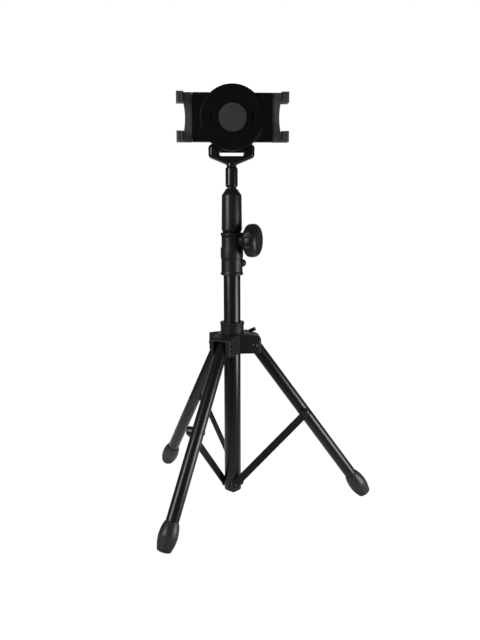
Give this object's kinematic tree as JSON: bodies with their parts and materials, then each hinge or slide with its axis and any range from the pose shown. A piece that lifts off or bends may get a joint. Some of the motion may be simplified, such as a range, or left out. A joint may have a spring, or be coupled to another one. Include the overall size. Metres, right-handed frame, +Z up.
{
  "type": "adjustable tablet floor stand",
  "caption": "Folding tripod floor stand with a telescoping column, clamp knob, twist clutch and a tilting, turning holder with sprung jaws for a tablet.",
  "frame": {"origin": "on the floor under the column's axis", "axes": "+Z up the column, +X along the right leg, the holder faces -Y"},
  "size_m": [0.3933, 0.4502, 0.7448],
  "materials": {
    "tube_paint": "satin black paint",
    "strip_paint": "satin black paint",
    "black_steel": "black oxide",
    "bare_steel": "zinc plated",
    "rubber": "matt",
    "gloss_black": "gloss",
    "jaw_grey": "satin",
    "matte_black": "fine spark texture"
  },
  "bodies": {
    "column": {"outer_tube": "tube_paint", "bottom_spider": "matte_black", "spider_rivets": "black_steel", "column_collar": "matte_black", "collar_bush": "matte_black", "collar_screw": "black_steel"},
    "knob": {"height_knob": "matte_black", "knob_stud": "bare_steel"},
    "hub": {"leg_hub": "matte_black", "hub_bolts": "black_steel", "hub_nuts": "bare_steel"},
    "hub_lock": {"wing_head": "matte_black", "wing_stud": "bare_steel"},
    "right_leg": {"right_leg_tube": "tube_paint", "right_leg_plug": "matte_black", "right_foot": "rubber", "right_leg_clip": "matte_black", "right_leg_rivet": "black_steel"},
    "front_leg": {"front_leg_tube": "tube_paint", "front_leg_plug": "matte_black", "front_foot": "rubber", "front_leg_clip": "matte_black", "front_leg_rivet": "black_steel"},
    "rear_leg": {"rear_leg_tube": "tube_paint", "rear_leg_plug": "matte_black", "rear_foot": "rubber", "rear_leg_clip": "matte_black", "rear_leg_rivet": "black_steel"},
    "right_brace": {"right_brace_strip": "strip_paint", "right_brace_head": "black_steel"},
    "front_brace": {"front_brace_strip": "strip_paint", "front_brace_head": "black_steel"},
    "rear_brace": {"rear_brace_strip": "strip_paint", "rear_brace_head": "black_steel"},
    "middle": {"middle_tube": "tube_paint", "middle_guide": "matte_black", "clutch_base": "matte_black", "clutch_collet": "matte_black"},
    "clutch": {"clutch_sleeve": "matte_black"},
    "rod": {"inner_rod": "tube_paint", "rod_guide": "matte_black", "top_barrel": "gloss_black"},
    "yoke": {"tilt_yoke": "gloss_black", "tilt_pin": "bare_steel"},
    "arm": {"tilt_arm": "gloss_black", "pivot_bolt": "bare_steel", "pivot_nut": "bare_steel"},
    "holder": {"holder_back": "gloss_black", "holder_front": "gloss_black", "centre_pad": "rubber", "holder_screws": "bare_steel", "left_spring": "bare_steel", "right_spring": "bare_steel"},
    "left_jaw": {"left_jaw": "jaw_grey", "left_grips": "rubber"},
    "right_jaw": {"right_jaw": "jaw_grey", "right_grips": "rubber"}
  },
  "joints": [
    {"name": "hub_slide", "type": "slide", "parent": "column", "child": "hub", "axis": [0, 0, 1], "range_m": [0, 0.0796]},
    {"name": "right_leg_fold", "type": "hinge", "parent": "hub", "child": "right_leg", "pos_m": [0.04, 0, 0.29412], "axis": [0, 1, 0], "range_deg": [0, 35.92]},
    {"name": "front_leg_fold", "type": "hinge", "parent": "hub", "child": "front_leg", "pos_m": [-0.02, -0.03464, 0.29412], "axis": [0.866, -0.5, 0], "range_deg": [0, 35.92]},
    {"name": "rear_leg_fold", "type": "hinge", "parent": "hub", "child": "rear_leg", "pos_m": [-0.02, 0.03464, 0.29412], "axis": [-0.866, -0.5, 0], "range_deg": [0, 35.92]},
    {"name": "right_brace_fold", "type": "hinge", "parent": "column", "child": "right_brace", "pos_m": [0, 0, 0.0328], "axis": [0, -1, 0], "range_deg": [0, 32.3]},
    {"name": "front_brace_fold", "type": "hinge", "parent": "column", "child": "front_brace", "pos_m": [0, 0, 0.0328], "axis": [-0.866, 0.5, 0], "range_deg": [0, 32.3]},
    {"name": "rear_brace_fold", "type": "hinge", "parent": "column", "child": "rear_brace", "pos_m": [0, 0, 0.0328], "axis": [0.866, 0.5, 0], "range_deg": [0, 32.3]},
    {"name": "wing_turn", "type": "hinge", "parent": "hub", "child": "hub_lock", "pos_m": [0.01743, 0.02684, 0.30612], "axis": [0.5446, 0.8387, 0], "range_deg": [0, 540]},
    {"name": "knob_turn", "type": "hinge", "parent": "column", "child": "knob", "pos_m": [0.02095, -0.00847, 0.48105], "axis": [0.9272, -0.3746, 0], "range_deg": [0, 450]},
    {"name": "middle_slide", "type": "slide", "parent": "column", "child": "middle", "axis": [0, 0, 1], "range_m": [0, 0.365]},
    {"name": "clutch_turn", "type": "hinge", "parent": "middle", "child": "clutch", "pos_m": [0, 0, 0.5051], "axis": [0, 0, 1], "range_deg": [0, 180]},
    {"name": "rod_slide", "type": "slide", "parent": "middle", "child": "rod", "axis": [0, 0, 1], "range_m": [0, 0.38]},
    {"name": "yoke_swivel", "type": "hinge", "parent": "rod", "child": "yoke", "pos_m": [0, 0, 0.6087], "axis": [0, 0, 1], "continuous": true},
    {"name": "holder_tilt", "type": "hinge", "parent": "yoke", "child": "arm", "pos_m": [0, 0, 0.6389], "axis": [-1, 0, 0], "range_deg": [0, 90]},
    {"name": "holder_turn", "type": "hinge", "parent": "arm", "child": "holder", "pos_m": [0, -0.012, 0.6896], "axis": [0, 1, 0], "continuous": true},
    {"name": "left_jaw_slide", "type": "slide", "parent": "holder", "child": "left_jaw", "axis": [-1, 0, 0], "range_m": [0, 0.0165], "stiffness_N_per_m": 250, "springref_m": -0.02, "deforming": ["left_spring"]},
    {"name": "right_jaw_slide", "type": "slide", "parent": "holder", "child": "right_jaw", "axis": [1, 0, 0], "range_m": [0, 0.0165], "stiffness_N_per_m": 250, "springref_m": -0.02, "deforming": ["right_spring"]}
  ],
  "couplings": [
    {"joint": "right_leg_fold", "follows": "hub_slide", "rad_per_m": 7.8715},
    {"joint": "front_leg_fold", "follows": "hub_slide", "rad_per_m": 7.8715},
    {"joint": "rear_leg_fold", "follows": "hub_slide", "rad_per_m": 7.8715},
    {"joint": "right_brace_fold", "follows": "hub_slide", "rad_per_m": 7.0784},
    {"joint": "front_brace_fold", "follows": "hub_slide", "rad_per_m": 7.0784},
    {"joint": "rear_brace_fold", "follows": "hub_slide", "rad_per_m": 7.0784}
  ]
}
